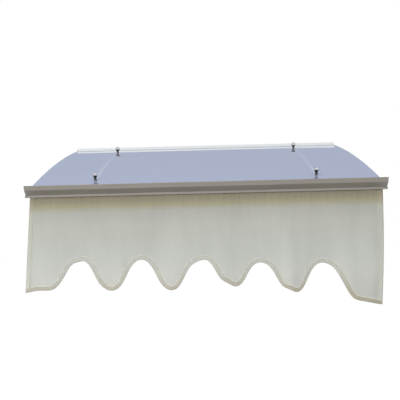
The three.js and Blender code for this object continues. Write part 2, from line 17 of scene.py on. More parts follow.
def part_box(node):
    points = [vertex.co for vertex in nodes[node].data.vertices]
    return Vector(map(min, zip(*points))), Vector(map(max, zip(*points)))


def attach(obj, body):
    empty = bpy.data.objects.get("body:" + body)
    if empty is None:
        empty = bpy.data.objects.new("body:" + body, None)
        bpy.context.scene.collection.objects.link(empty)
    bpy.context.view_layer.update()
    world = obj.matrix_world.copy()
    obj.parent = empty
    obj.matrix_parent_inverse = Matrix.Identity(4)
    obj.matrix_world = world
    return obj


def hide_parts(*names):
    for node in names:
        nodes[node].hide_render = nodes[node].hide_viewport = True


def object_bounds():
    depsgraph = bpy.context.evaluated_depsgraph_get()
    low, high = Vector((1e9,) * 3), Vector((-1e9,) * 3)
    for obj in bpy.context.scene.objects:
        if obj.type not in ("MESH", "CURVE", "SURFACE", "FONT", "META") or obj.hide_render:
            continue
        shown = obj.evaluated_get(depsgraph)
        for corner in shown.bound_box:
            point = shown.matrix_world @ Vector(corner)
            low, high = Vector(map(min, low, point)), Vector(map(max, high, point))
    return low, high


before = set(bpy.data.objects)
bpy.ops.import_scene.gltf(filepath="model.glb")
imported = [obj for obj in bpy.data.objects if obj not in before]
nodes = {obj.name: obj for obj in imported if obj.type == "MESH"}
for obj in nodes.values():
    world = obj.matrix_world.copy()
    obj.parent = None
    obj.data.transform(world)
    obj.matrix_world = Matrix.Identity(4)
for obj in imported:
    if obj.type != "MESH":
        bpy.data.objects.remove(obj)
cad_low, cad_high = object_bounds()
scene = bpy.context.scene
MM = 0.001
print(f"{len(nodes)} CAD nodes, {[round(s, 3) for s in cad_high - cad_low]} m overall")

# %% [markdown]
# ## The camera
#
# The photograph was taken from about 2.4 m in front of the gutter rail, a little below the wall rail
# and with the camera held slightly askew. A camera can be placed by eye, but here the corners of the
# rails and the four knobs were matched to the CAD model, which gives one place, one direction and one
# lens. Blender's lens value follows from the focal length in pixels and the sensor's width.

# %% Camera
PHOTO_SIDE = 400  # pixels
FOCAL_LENGTH = 730.1  # pixels
CAMERA_PLACE = Vector((0.0077, -3.396, -0.2842))
CAMERA_YAW = math.radians(0.659)
CAMERA_PITCH = math.radians(0.969)
CAMERA_ROLL = math.radians(-1.404)

lens = bpy.data.cameras.new("photo_lens")
lens.sensor_width = 36
lens.lens = lens.sensor_width * FOCAL_LENGTH / PHOTO_SIDE
camera = bpy.data.objects.new("photo_camera", lens)
camera.matrix_world = (
    Matrix.Translation(CAMERA_PLACE)
    @ Matrix.Rotation(CAMERA_YAW, 4, "Z")
    @ Matrix.Rotation(math.pi / 2 + CAMERA_PITCH, 4, "X")
    @ Matrix.Rotation(CAMERA_ROLL, 4, "Z")
)
scene.collection.objects.link(camera)
scene.camera = camera
scene.view_settings.view_transform = "Standard"
print(f"camera with a {lens.lens:.1f} mm lens")

# %% [markdown]
# ## Colours and nodes
#
# Two helpers serve all materials. Colours are easiest to read as sRGB hex values, as a colour picker
# shows them, but shaders compute in linear light, so one function converts them. The other adds a
# node, sets its options and socket values, and links its inputs, which keeps each material short
# enough to read from top to bottom.

# %% Colour and node helpers
def linear(hex_colour):
    """An sRGB hex colour as linear red, green, blue and alpha."""
    shares = [int(hex_colour[i : i + 2], 16) / 255 for i in (1, 3, 5)]
    bent = [s / 12.92 if s <= 0.04045 else ((s + 0.055) / 1.055) ** 2.4 for s in shares]
    return (*bent, 1)


def add_node(tree, kind, values=None, links=None, **options):
    """Add a shader node with its options, its socket values and the outputs that feed it."""
    made = tree.nodes.new("ShaderNode" + kind)
    for option, value in options.items():
        setattr(made, option, value)
    for socket, value in (values or {}).items():
        made.inputs[socket].default_value = value
    for socket, output in (links or {}).items():
        tree.links.new(output, made.inputs[socket])
    return made


def new_material(name):
    """An empty node material and its node tree."""
    material = bpy.data.materials.new(name)
    material.use_nodes = True
    material.node_tree.nodes.clear()
    return material, material.node_tree


MIX_A, MIX_B, MIX_COLOUR = 6, 7, 2  # the colour sockets of a Mix node


def per_metre(size_mm):
    """The texture scale at which one grain of a noise pattern is this many millimetres."""
    return 1 / (size_mm * MM)


def band_scale(pitch_mm):
    """The scale at which a Wave texture repeats once in this many millimetres."""
    return math.pi / (10 * pitch_mm * MM)


print("sample grey", [round(c, 3) for c in linear("#808080")])

# %% [markdown]
# ## Tinted polycarbonate
#
# The sheet is solid polycarbonate, extruded between polished rollers and tinted a cool blue grey. It
# is glossy enough to mirror the knobs that stand on it, and so strongly tinted that the brackets
# below show only as faint pale lines. One Principled shader does it: mostly body colour, a little
# transmission, the refractive index of polycarbonate, and a clear coat for the hard layer that
# protects such sheets from the sun. So little light comes through that the pale lines of the arms are
# painted into the body colour, as a painted view of the arms through the sheet, measured from the
# four clamp points. A thin film of dust makes the gloss a little uneven.

# %% Tinted polycarbonate
ARM_LINE_HALF = 9 * MM


def middle_of(name):
    """The middle of a CAD node's box."""
    low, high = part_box(name)
    return (low + high) / 2


tinted_polycarbonate, tree = new_material("tinted_polycarbonate")
place = add_node(tree, "TexCoord").outputs["Object"]
dust = add_node(
    tree, "TexNoise", {"Scale": per_metre(45), "Detail": 5, "Roughness": 0.6}, {"Vector": place}
)
tint = add_node(
    tree,
    "Mix",
    {MIX_A: linear("#A2AAC0"), MIX_B: linear("#ABB2C5")},
    {"Factor": dust.outputs["Fac"]},
    data_type="RGBA",
)
front_clamp = middle_of("clamp_bolt_front_right")
rear_clamp = middle_of("clamp_bolt_rear_right")
across = add_node(tree, "SeparateXYZ", links={"Vector": place})
from_middle = add_node(tree, "Math", links={0: across.outputs["X"]}, operation="ABSOLUTE")
from_arm = add_node(
    tree, "Math", {1: front_clamp.x}, {0: from_middle.outputs["Value"]}, operation="SUBTRACT"
)
arm_distance = add_node(tree, "Math", links={0: from_arm.outputs["Value"]}, operation="ABSOLUTE")
# Painted view of the arms under the sheet: a paler tint along each arm, between its two clamps.
arm_line = add_node(
    tree,
    "MapRange",
    {"From Min": 0, "From Max": ARM_LINE_HALF, "To Min": 1, "To Max": 0},
    {"Value": arm_distance.outputs["Value"]},
    interpolation_type="SMOOTHSTEP",
)
behind_front = add_node(
    tree, "Math", {1: front_clamp.y}, {0: across.outputs["Y"]}, operation="GREATER_THAN"
)
before_rear = add_node(
    tree, "Math", {1: rear_clamp.y}, {0: across.outputs["Y"]}, operation="LESS_THAN"
)
along_arm = add_node(
    tree,
    "Math",
    links={0: behind_front.outputs["Value"], 1: before_rear.outputs["Value"]},
    operation="MULTIPLY",
)
shows = add_node(
    tree,
    "Math",
    links={0: arm_line.outputs["Result"], 1: along_arm.outputs["Value"]},
    operation="MULTIPLY",
)
tint_and_painted_arm_lines = add_node(
    tree,
    "Mix",
    {MIX_B: linear("#CAD1DF")},
    {"Factor": shows.outputs["Value"], MIX_A: tint.outputs[MIX_COLOUR]},
    data_type="RGBA",
)
gloss = add_node(
    tree, "MapRange", {"To Min": 0.03, "To Max": 0.07}, {"Value": dust.outputs["Fac"]}
)
rollers = add_node(
    tree, "TexNoise", {"Scale": per_metre(160), "Detail": 1}, {"Vector": place}
)
waviness = add_node(
    tree, "Bump", {"Strength": 0.05, "Distance": 0.5 * MM}, {"Height": rollers.outputs["Fac"]}
)
shader = add_node(
    tree,
    "BsdfPrincipled",
    {
        "IOR": 1.58,
        "Transmission Weight": 0.2,
        "Coat Weight": 1,
        "Coat Roughness": 0.03,
        "Coat IOR": 1.5,
    },
    {
        "Base Color": tint_and_painted_arm_lines.outputs[MIX_COLOUR],
        "Roughness": gloss.outputs["Result"],
        "Normal": waviness.outputs["Normal"],
    },
)
add_node(tree, "OutputMaterial", links={"Surface": shader.outputs["BSDF"]})
print("made", tinted_polycarbonate.name)

# %% [markdown]
# ## Champagne powder coat
#
# The gutter rail is an aluminium extrusion with a champagne powder coat that holds fine metal flake.
# To the eye that is a warm grey, satin rather than shiny, with a faint sparkle and the orange peel of
# a baked coat. Flake in a clear film is neither all metal nor all plastic, so the shader is part
# metallic, and a fine noise gives the flake and the peel.

# %% Champagne powder coat
champagne_powder_coat, tree = new_material("champagne_powder_coat")
place = add_node(tree, "TexCoord").outputs["Object"]
flake = add_node(tree, "TexNoise", {"Scale": per_metre(1.2), "Detail": 2}, {"Vector": place})
streak_place = add_node(
    tree, "Mapping", {"Scale": (0.05, 1, 1)}, {"Vector": place}
)
streaks = add_node(
    tree,
    "TexNoise",
    {"Scale": per_metre(9), "Detail": 4},
    {"Vector": streak_place.outputs["Vector"]},
)
coat = add_node(
    tree,
    "Mix",
    {MIX_A: linear("#959088"), MIX_B: linear("#A6A198")},
    {"Factor": streaks.outputs["Fac"]},
    data_type="RGBA",
)
satin = add_node(
    tree, "MapRange", {"To Min": 0.36, "To Max": 0.5}, {"Value": flake.outputs["Fac"]}
)
peel = add_node(
    tree, "Bump", {"Strength": 0.12, "Distance": 0.1 * MM}, {"Height": flake.outputs["Fac"]}
)
shader = add_node(
    tree,
    "BsdfPrincipled",
    {"Metallic": 0.15},
    {
        "Base Color": coat.outputs[MIX_COLOUR],
        "Roughness": satin.outputs["Result"],
        "Normal": peel.outputs["Normal"],
    },
)
add_node(tree, "OutputMaterial", links={"Surface": shader.outputs["BSDF"]})
print("made", champagne_powder_coat.name)

# %% [markdown]
# ## Silver anodised aluminium
#
# The rail at the wall is a plain extrusion, anodised silver. Anodising keeps the metal's own colour
# and leaves a pale satin surface with faint lines along the length, where the metal slid through
# the die. Stretching a noise pattern along the rail draws those lines.

# %% Silver anodised aluminium
silver_aluminium, tree = new_material("silver_anodised_aluminium")
place = add_node(tree, "TexCoord").outputs["Object"]
die_place = add_node(tree, "Mapping", {"Scale": (0.01, 1, 1)}, {"Vector": place})
die_lines = add_node(
    tree,
    "TexNoise",
    {"Scale": per_metre(0.8), "Detail": 3},
    {"Vector": die_place.outputs["Vector"]},
)
silver = add_node(
    tree,
    "Mix",
    {MIX_A: linear("#E0E3E5"), MIX_B: linear("#EBEDEF")},
    {"Factor": die_lines.outputs["Fac"]},
    data_type="RGBA",
)
satin = add_node(
    tree, "MapRange", {"To Min": 0.3, "To Max": 0.42}, {"Value": die_lines.outputs["Fac"]}
)
lines = add_node(
    tree, "Bump", {"Strength": 0.1, "Distance": 0.05 * MM}, {"Height": die_lines.outputs["Fac"]}
)
shader = add_node(
    tree,
    "BsdfPrincipled",
    {"Metallic": 0.85},
    {
        "Base Color": silver.outputs[MIX_COLOUR],
        "Roughness": satin.outputs["Result"],
        "Normal": lines.outputs["Normal"],
    },
)
add_node(tree, "OutputMaterial", links={"Surface": shader.outputs["BSDF"]})
print("made", silver_aluminium.name)

# %% [markdown]
# ## Powder-coated casting
#
# The brackets are cast aluminium with a thick light grey powder coat. The coat hides the metal, so
# this is a dielectric: a matt body colour under a soft shine. A cast surface is never quite flat,
# and the coat adds a pebbled texture of about 2 mm on top, so two noises of different size make the
# bump.

# %% Powder-coated casting
coated_casting, tree = new_material("powder_coated_casting")
place = add_node(tree, "TexCoord").outputs["Object"]
pebble = add_node(tree, "TexNoise", {"Scale": per_metre(2), "Detail": 2}, {"Vector": place})
cast = add_node(tree, "TexNoise", {"Scale": per_metre(30), "Detail": 3}, {"Vector": place})
grey = add_node(
    tree,
    "Mix",
    {MIX_A: linear("#C6C8CA"), MIX_B: linear("#D6D8DA")},
    {"Factor": cast.outputs["Fac"]},
    data_type="RGBA",
)
shine = add_node(
    tree, "MapRange", {"To Min": 0.42, "To Max": 0.6}, {"Value": pebble.outputs["Fac"]}
)
uneven = add_node(
    tree, "Bump", {"Strength": 0.2, "Distance": 0.6 * MM}, {"Height": cast.outputs["Fac"]}
)
pebbled = add_node(
    tree,
    "Bump",
    {"Strength": 0.25, "Distance": 0.15 * MM},
    {"Height": pebble.outputs["Fac"], "Normal": uneven.outputs["Normal"]},
)
shader = add_node(
    tree,
    "BsdfPrincipled",
    {"IOR": 1.5},
    {
        "Base Color": grey.outputs[MIX_COLOUR],
        "Roughness": shine.outputs["Result"],
        "Normal": pebbled.outputs["Normal"],
    },
)
add_node(tree, "OutputMaterial", links={"Surface": shader.outputs["BSDF"]})
print("made", coated_casting.name)

# %% [markdown]
# ## Polished stainless steel
#
# Knobs, washers and nuts are turned from stainless steel and polished. A mirror finish shows the sky
# in the dome of each knob. Handling leaves faint smears, so the roughness varies a little, while the
# colour hardly does.

# %% Polished stainless steel
stainless_steel, tree = new_material("polished_stainless_steel")
place = add_node(tree, "TexCoord").outputs["Object"]
smear = add_node(tree, "TexNoise", {"Scale": per_metre(6), "Detail": 4}, {"Vector": place})
steel = add_node(
    tree,
    "Mix",
    {MIX_A: linear("#C9CACC"), MIX_B: linear("#DADBDD")},
    {"Factor": smear.outputs["Fac"]},
    data_type="RGBA",
)
polish = add_node(
    tree, "MapRange", {"To Min": 0.16, "To Max": 0.3}, {"Value": smear.outputs["Fac"]}
)
shader = add_node(
    tree,
    "BsdfPrincipled",
    {"Metallic": 1},
    {"Base Color": steel.outputs[MIX_COLOUR], "Roughness": polish.outputs["Result"]},
)
add_node(tree, "OutputMaterial", links={"Surface": shader.outputs["BSDF"]})
print("made", stainless_steel.name)

# %% [markdown]
# ## Rubber and plastic
#
# Seals, collars and sealing washers are black EPDM rubber: a dark grey that scatters most of its
# little light, with a bloom of paler dust. On the collars the black also paints the dark reflection
# under the knobs' caps. The gaskets on the arms are a pale foam strip, and the
# plugs and the rod in the gutter rail are grey nylon, moulded and slightly shiny. All are a noise
# between two close colours, a roughness and a fine bump, so one function makes them.

# %% Rubber and plastic
def moulded_material(name, dark, pale, grain_mm, roughness):
    """A moulded material: two close colours in grains, and a bump of the same grain."""
    material, tree = new_material(name)
    place = add_node(tree, "TexCoord").outputs["Object"]
    grain = add_node(
        tree, "TexNoise", {"Scale": per_metre(grain_mm), "Detail": 4}, {"Vector": place}
    )
    colour = add_node(
        tree,
        "Mix",
        {MIX_A: linear(dark), MIX_B: linear(pale)},
        {"Factor": grain.outputs["Fac"]},
        data_type="RGBA",
    )
    dull = add_node(
        tree,
        "MapRange",
        {"To Min": roughness - 0.08, "To Max": roughness + 0.08},
        {"Value": grain.outputs["Fac"]},
    )
    skin = add_node(
        tree, "Bump", {"Strength": 0.15, "Distance": 0.1 * MM}, {"Height": grain.outputs["Fac"]}
    )
    shader = add_node(
        tree,
        "BsdfPrincipled",
        {"IOR": 1.52},
        {
            "Base Color": colour.outputs[MIX_COLOUR],
            "Roughness": dull.outputs["Result"],
            "Normal": skin.outputs["Normal"],
        },
    )
    add_node(tree, "OutputMaterial", links={"Surface": shader.outputs["BSDF"]})
    print("made", material.name)
    return material


black_rubber = moulded_material("epdm_rubber", "#222325", "#313235", 3, 0.7)
pale_foam = moulded_material("pale_foam", "#C4C7CB", "#D3D6DA", 1.5, 0.8)
grey_nylon = moulded_material("grey_nylon", "#76726C", "#838079", 2, 0.5)

# %% [markdown]
# ## Cream canvas
#
# The valance is cut from cream canvas, thin enough for daylight to come through. Its tone is mostly
# painted light and shade. One layer is painted pale and cool, as light coming through it. In the top
# hem, where two layers lie together and the rail keeps the light off, painted shade makes the cloth
# browner there, and it grows paler towards the scallops. That change runs down the cloth, so each
# cloth piece carries the distance from the cloth's top at every point, and a colour ramp turns it
# into tones. The weave is plain: bands across and along the cloth, multiplied, make a bump that rises
# and falls from thread to thread. The real threads are about 0.5 mm apart, drawn here three times as
# coarse so that the weave shows. Long soft noise gives the slubs of cloth that has hung outdoors.

# %% Cream canvas
THREAD_PITCH = 1.5  # mm
RAMP_REACH = 400  # mm of drop from one end of the colour ramp to the other
# Painted light and shade: dark under the rail and in the double top hem, paler lower down where light
# comes through one layer.
PANEL_TONES_PAINTED_LIGHT_AND_SHADE = (  # mm below the cloth's top, and the tone there
    (0, "#8F8775"),
    (8, "#9A927E"),
    (21, "#A19D86"),
    (35, "#B2AC90"),
    (45, "#B8B7A6"),
    (55, "#BEBEB6"),
    (100, "#C8C9BF"),
    (180, "#CDCFC9"),
    (270, "#D6D8D1"),
    (340, "#D3D4CC"),
)
# The side hems' tones paint the same shade under the rail and light through the cloth.
SIDE_HEM_TONES_PAINTED_LIGHT_AND_SHADE = ((0, "#9A927E"), (35, "#B8B299"), (60, "#C8C9BD"), (300, "#DBDCD2"))
BINDING_TONES = ((180, "#D3D4CC"), (265, "#D1D1C7"), (330, "#C4BEAB"), (390, "#C1BAA4"))
# The fold's paler tone is a painted highlight on the turned-under edge of the tape and side hems.
FOLD_TONES_PAINTED_HIGHLIGHT = ((0, "#A29A86"), (35, "#BCB79F"), (60, "#D3D3C8"), (300, "#DBDBD1"))
# The thread darkens towards the top as painted shade under the rail.
THREAD_TONES_PAINTED_SHADE = ((0, "#A79F88"), (35, "#C4BEA6"), (60, "#D5D4C8"), (300, "#D9D7CC"))


def canvas(name, tones):
    """A plain weave whose tone follows the distance below the cloth's top."""
    material, tree = new_material(name)
    place = add_node(tree, "TexCoord").outputs["Object"]
    drop = add_node(tree, "Attribute", attribute_name="drop")
    share = add_node(
        tree, "Math", {1: RAMP_REACH * MM}, {0: drop.outputs["Fac"]}, operation="DIVIDE"
    )
    # The ramp turns the drop into the table's tones, painted light and shade included.
    ramp = add_node(tree, "ValToRGB", links={"Fac": share.outputs["Value"]})
    stops = ramp.color_ramp.elements
    for at, tone in tones[1:-1]:
        stops.new(at / RAMP_REACH)
    for stop, (at, tone) in zip(stops, tones):
        stop.position = at / RAMP_REACH
        stop.color = linear(tone)
    slub_place = add_node(tree, "Mapping", {"Scale": (1, 1, 0.25)}, {"Vector": place})
    slubs = add_node(
        tree,
        "TexNoise",
        {"Scale": per_metre(55), "Detail": 6, "Roughness": 0.6},
        {"Vector": slub_place.outputs["Vector"]},
    )
    shade = add_node(
        tree, "MapRange", {"To Min": 0.9, "To Max": 1.1}, {"Value": slubs.outputs["Fac"]}
    )
    colour = add_node(
        tree,
        "Mix",
        {"Factor": 1},
        {MIX_A: ramp.outputs["Color"], MIX_B: shade.outputs["Result"]},
        data_type="RGBA",
        blend_type="MULTIPLY",
    )
    warp, weft = (
        add_node(
            tree,
            "TexWave",
            {"Scale": band_scale(THREAD_PITCH), "Distortion": 0.4, "Detail Scale": 2},
            {"Vector": place},
            bands_direction=axis,
        )
        for axis in ("X", "Z")
    )
    weave = add_node(
        tree,
        "Math",
        links={0: warp.outputs["Fac"], 1: weft.outputs["Fac"]},
        operation="MULTIPLY",
    )
    threads = add_node(
        tree, "Bump", {"Strength": 0.3, "Distance": 0.3 * MM}, {"Height": weave.outputs["Value"]}
    )
    shader = add_node(
        tree,
        "BsdfPrincipled",
        {"Roughness": 0.85, "IOR": 1.45, "Sheen Weight": 0.1, "Sheen Roughness": 0.4},
        {"Base Color": colour.outputs[MIX_COLOUR], "Normal": threads.outputs["Normal"]},
    )
    add_node(tree, "OutputMaterial", links={"Surface": shader.outputs["BSDF"]})
    print("made", material.name)
    return material


single_canvas = canvas("cream_canvas", PANEL_TONES_PAINTED_LIGHT_AND_SHADE)
hem_canvas = canvas("cream_canvas_side_hem", SIDE_HEM_TONES_PAINTED_LIGHT_AND_SHADE)
binding_tape = canvas("cream_binding_tape", BINDING_TONES)
fold_painted_highlight_canvas = canvas("cream_canvas_fold_painted_highlight", FOLD_TONES_PAINTED_HIGHLIGHT)
thread = canvas("cream_thread", THREAD_TONES_PAINTED_SHADE)

# %% [markdown]
# ## Soft edges on the CAD pieces
#
# The CAD nodes come in as loose flat triangles, which is right for measuring but shows every facet in
# a reflection. Shading them smooth isn't enough, since each triangle has its own corners. So each
# rigid piece gets a finished copy that stands for its node: the corners are welded, flat areas become
# single faces, edges sharper than a limit stay sharp, and a small bevel rounds those edges as a die,
# a mould or a coat of powder does. The copy stays exactly where the node is.

# %% Finished copies of the rigid pieces
WELD = 0.002 * MM
FLAT = math.radians(0.05)
SHARP = math.radians(32)


def finished(name, material, edge=0.0):
    """A welded, smoothly shaded copy of a CAD node, with its sharp edges rounded by edge metres."""
    source = nodes[name].data
    mesh = bpy.data.meshes.new(name + "_finished")
    mesh.from_pydata(
        [v.co for v in source.vertices], [], [list(p.vertices) for p in source.polygons]
    )
    body = bmesh.new()
    body.from_mesh(mesh)
    bmesh.ops.remove_doubles(body, verts=body.verts, dist=WELD)
    bmesh.ops.dissolve_limit(body, angle_limit=FLAT, verts=body.verts, edges=body.edges)
    for face in body.faces:
        face.smooth = True
    for line in body.edges:
        line.smooth = line.is_manifold and line.calc_face_angle() < SHARP
    body.to_mesh(mesh)
    body.free()
    mesh.materials.append(material)
    piece = bpy.data.objects.new(name + "_finished", mesh)
    scene.collection.objects.link(piece)
    if edge:
        bevel = piece.modifiers.new("rounded_edges", "BEVEL")
        bevel.width = edge
        bevel.segments = 2
        bevel.limit_method = "ANGLE"
        bevel.angle_limit = SHARP
        bevel.harden_normals = True
    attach(piece, "root")
    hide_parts(name)
    return piece


finished("canopy_sheet", tinted_polycarbonate, 0.3 * MM)
finished("front_gutter_rail", champagne_powder_coat, 0.4 * MM)
finished("rear_wall_rail", silver_aluminium, 0.3 * MM)
finished("wall_seal_strip", black_rubber, 0.4 * MM)
for side in ("left", "right"):
    finished(f"bracket_{side}", coated_casting, 0.9 * MM)
    finished(f"arm_gasket_{side}", pale_foam, 0.4 * MM)
    finished(f"rail_end_plug_{side}", grey_nylon)
finished("valance_keder", grey_nylon)
for row in ("front", "rear"):
    for side in ("left", "right"):
        finished(f"clamp_nut_{row}_{side}", stainless_steel)
        finished(f"top_washer_{row}_{side}", stainless_steel, 0.2 * MM)
        finished(f"lower_washer_{row}_{side}", stainless_steel, 0.2 * MM)
        finished(f"seal_washer_{row}_{side}", black_rubber, 0.3 * MM)

# %% [markdown]
# ## Knobs
#
# Each clamp ends in a knob: a steel dome on a black flared collar, which the dark cone under the
# bright cap shows in the photograph. The collar's black is a painted reflection: it stands for the
# dark surroundings mirrored under a polished cap. Both are turned parts, so both are a profile spun
# round the
# bolt's axis in many small steps, finer than the CAD's facets. The axis is taken from the washers
# above and below the arm, and the heights from the CAD pieces themselves.

# %% Turned knobs
KNOB_STEPS = 56
SHANK, DOME, COLLAR_BORE = 3 * MM, 9.5 * MM, 3.2 * MM  # radii
SHANK_CHAMFER, DOME_EDGE, DOME_BAND, SEAT_GAP = 0.6 * MM, 0.3 * MM, 2 * MM, 0.2 * MM
DOME_ARC_STEPS = 12


def turned(name, place, axis, profile, material):
    """A profile of (radius, height) pairs spun round an axis, in place of a CAD node."""
    turn = axis.to_track_quat("Z", "X").to_matrix().to_4x4()
    body = bmesh.new()
    points = [body.verts.new((radius, 0, height)) for radius, height in profile]
    lines = [body.edges.new(pair) for pair in zip(points, points[1:])]
    bmesh.ops.spin(
        body,
        geom=points + lines,
        cent=(0, 0, 0),
        axis=(0, 0, 1),
        angle=2 * math.pi,
        steps=KNOB_STEPS,
        use_merge=True,
    )
    bmesh.ops.remove_doubles(body, verts=body.verts, dist=WELD)
    bmesh.ops.recalc_face_normals(body, faces=body.faces)
    body.transform(Matrix.Translation(place) @ turn)
    for face in body.faces:
        face.smooth = True
    for line in body.edges:
        line.smooth = line.calc_face_angle(0) < SHARP
    mesh = bpy.data.meshes.new(name + "_turned")
    body.to_mesh(mesh)
    body.free()
    mesh.materials.append(material)
    piece = bpy.data.objects.new(name + "_turned", mesh)
    scene.collection.objects.link(piece)
    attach(piece, "root")
    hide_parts(name)
    return piece


def reach_along(name, place, axis):
    """The lowest and highest point of a CAD node along an axis from a place."""
    heights = [(v.co - place).dot(axis) for v in nodes[name].data.vertices]
    return min(heights), max(heights)


for row in ("front", "rear"):
    for side in ("left", "right"):
        clamp = f"{row}_{side}"
        seat = middle_of(f"top_washer_{clamp}")
        axis = (seat - middle_of(f"lower_washer_{clamp}")).normalized()
        end, crown = reach_along(f"clamp_bolt_{clamp}", seat, axis)
        foot, rim = reach_along(f"flare_collar_{clamp}", seat, axis)
        collar_height = rim - foot
        cone = [  # shares of the collar's height, and radii in millimetres
            (0.00, 5.0), (0.07, 5.0), (0.10, 4.8), (0.15, 4.3), (0.22, 4.2), (0.32, 4.35),
            (0.44, 4.9), (0.58, 5.9), (0.72, 7.1), (0.85, 8.2), (0.93, 8.8), (0.96, 9.0), (1.00, 9.0),
        ]
        collar = [(COLLAR_BORE, foot)]
        collar += [(radius * MM, foot + share * collar_height) for share, radius in cone]
        collar += [(COLLAR_BORE, rim), (COLLAR_BORE, foot)]
        # The collar's black rubber also paints the dark reflection under the polished cap.
        turned(f"flare_collar_{clamp}", seat, axis, collar, black_rubber)

        under = rim + SEAT_GAP
        shoulder = under + DOME_BAND
        dome = [(0, end), (SHANK - SHANK_CHAMFER, end), (SHANK, end + SHANK_CHAMFER)]
        dome += [(SHANK, under), (DOME - DOME_EDGE, under), (DOME, under + DOME_EDGE)]
        for i in range(DOME_ARC_STEPS + 1):
            angle = i / DOME_ARC_STEPS * math.pi / 2
            dome.append((DOME * math.cos(angle), shoulder + (crown - shoulder) * math.sin(angle)))
        turned(f"clamp_bolt_{clamp}", seat, axis, dome, stainless_steel)
        print(f"{clamp} knob, {1000 * crown:.1f} mm tall above its washer")

# %% [markdown]
# ## How the valance hangs
#
# The CAD cloth is a flat board with the right outline. A real valance leans where the breeze has
# pushed it, falls in shallow folds from its tight top hem, and its scallops curl a little. A cloth
# simulation could find such a shape, but nearly flat cloth is easier to direct. One function
# says where any point of the cut cloth hangs, so panel, hems, binding and stitches all follow the
# same folds. The hem line is read off the CAD cloth, softened, and sagged or drawn up where the
# cloth in the photograph has stretched.

# %% The hanging cloth
cloth_low, cloth_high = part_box("valance")
CLOTH_PLANE = (cloth_low.y + cloth_high.y) / 2
HALF_CUT = cloth_high.x
LEAN_LEFT, LEAN_RIGHT = -22 * MM, -11 * MM  # sideways at the hem, at the two ends
FULL_DROP = cloth_high.z - cloth_low.z

hem_line = sorted(
    {
        (round(v.co.x, 6), round(v.co.z, 6))
        for v in nodes["valance"].data.vertices
        if v.co.z < cloth_high.z - 10 * MM
    }
)


HEM_SAGS = (  # where the cloth has stretched or drawn up, how wide, and how far down
    (-0.612, 0.035, 12 * MM),
    (-0.530, 0.060, 5 * MM),
    (-0.483, 0.028, -12 * MM),
    (-0.430, 0.018, 5 * MM),
    (-0.374, 0.022, 11 * MM),
    (-0.320, 0.050, 3 * MM),
    (-0.215, 0.030, -4 * MM),
    (-0.074, 0.024, -11 * MM),
    (0.000, 0.022, -6 * MM),
    (0.064, 0.022, -8 * MM),
    (0.060, 0.055, -15 * MM),
    (0.210, 0.040, 3 * MM),
    (0.268, 0.020, -8 * MM),
    (0.318, 0.034, 9 * MM),
    (0.443, 0.030, -42 * MM),
    (0.490, 0.050, -7 * MM),
    (0.590, 0.045, 6 * MM),
)
HEM_STEP = 2 * MM
HEM_START = LEAN_LEFT - HALF_CUT - 10 * MM


def cut_drop(x):
    """How far below its top the CAD cloth ends, at x."""
    after = next((i for i, (hem_x, _) in enumerate(hem_line) if hem_x >= x), len(hem_line) - 1)
    (x0, z0), (x1, z1) = hem_line[max(after - 1, 0)], hem_line[after]
    share = min(max((x - x0) / (x1 - x0), 0), 1) if x1 > x0 else 0
    return cloth_high.z - (z0 + (z1 - z0) * share)


hem_drops = []
for i in range(int(2 * (HALF_CUT + 20 * MM) / HEM_STEP)):
    x = HEM_START + i * HEM_STEP
    softened = sum(cut_drop(x + step * MM) for step in (-8, -4, 0, 4, 8)) / 5
    sag = sum(down * math.exp(-(((x - at) / width) ** 2)) for at, width, down in HEM_SAGS)
    hem_drops.append(softened + sag)


def hem_drop(x):
    """How far below its top the hanging cloth ends, at x along the hem."""
    place = (x - HEM_START) / HEM_STEP
    i = min(max(int(place), 0), len(hem_drops) - 2)
    return hem_drops[i] + (hem_drops[i + 1] - hem_drops[i]) * (place - i)


def lean(across):
    """How far the hem hangs to the side of the top, at a place from -1 to 1 across the cloth."""
    return LEAN_LEFT + (LEAN_RIGHT - LEAN_LEFT) * (across + 1) / 2


FOLDS = (  # place across the cloth, half width and depth of each soft fold, in metres
    (-0.450, 0.055, -0.0085),
    (-0.290, 0.023, 0.0075),
    (-0.165, 0.055, -0.0075),
    (-0.030, 0.023, 0.0070),
    (0.120, 0.060, -0.0080),
    (0.275, 0.024, 0.0075),
    (0.400, 0.055, -0.0070),
    (0.545, 0.024, 0.0055),
)
LOBE_PITCH = 0.200
LOBE_SHIFT = -0.021
LOBE_CURL = 0.007
PUCKER = 0.45 * MM  # small gathers along the top hem, which fade below the seam
PUCKER_REACH = 48 * MM
GATHERS = ((17 * MM, 0), (26.3 * MM, 1.3))  # pitch and phase
SIDE_BOW = 3.5 * MM  # how far the right edge bellies out


def forward(x, drop):
    """How far the cloth stands out from its plane, towards the front."""
    fall = min(drop / FULL_DROP, 1)
    eased = fall * fall * (3 - 2 * fall)
    folds = sum(depth * math.exp(-(((x - at) / width) ** 2)) for at, width, depth in FOLDS)
    curl = LOBE_CURL * math.cos(2 * math.pi * (x - LOBE_SHIFT) / LOBE_PITCH + 0.6)
    gathers = sum(math.sin(2 * math.pi * x / pitch + shift) for pitch, shift in GATHERS)
    pucker = PUCKER * gathers * math.exp(-((drop / PUCKER_REACH) ** 2))
    return (0.5 * math.sqrt(fall) + 0.5 * eased) * folds - fall**3 * curl + pucker


def hang(across, drop, proud=0.0):
    """Where a point of the cut cloth hangs: across is from -1 to 1, drop is below the top."""
    share = drop / hem_drop(across * HALF_CUT + lean(across))
    bow = SIDE_BOW * math.sin(math.pi * share) * max(across, 0) ** 4
    x = across * HALF_CUT + lean(across) * share + bow
    return Vector((x, CLOTH_PLANE - forward(x, drop) - proud, cloth_high.z - drop))


print(f"cloth {2 * HALF_CUT:.3f} m wide, {FULL_DROP:.3f} m at its longest")

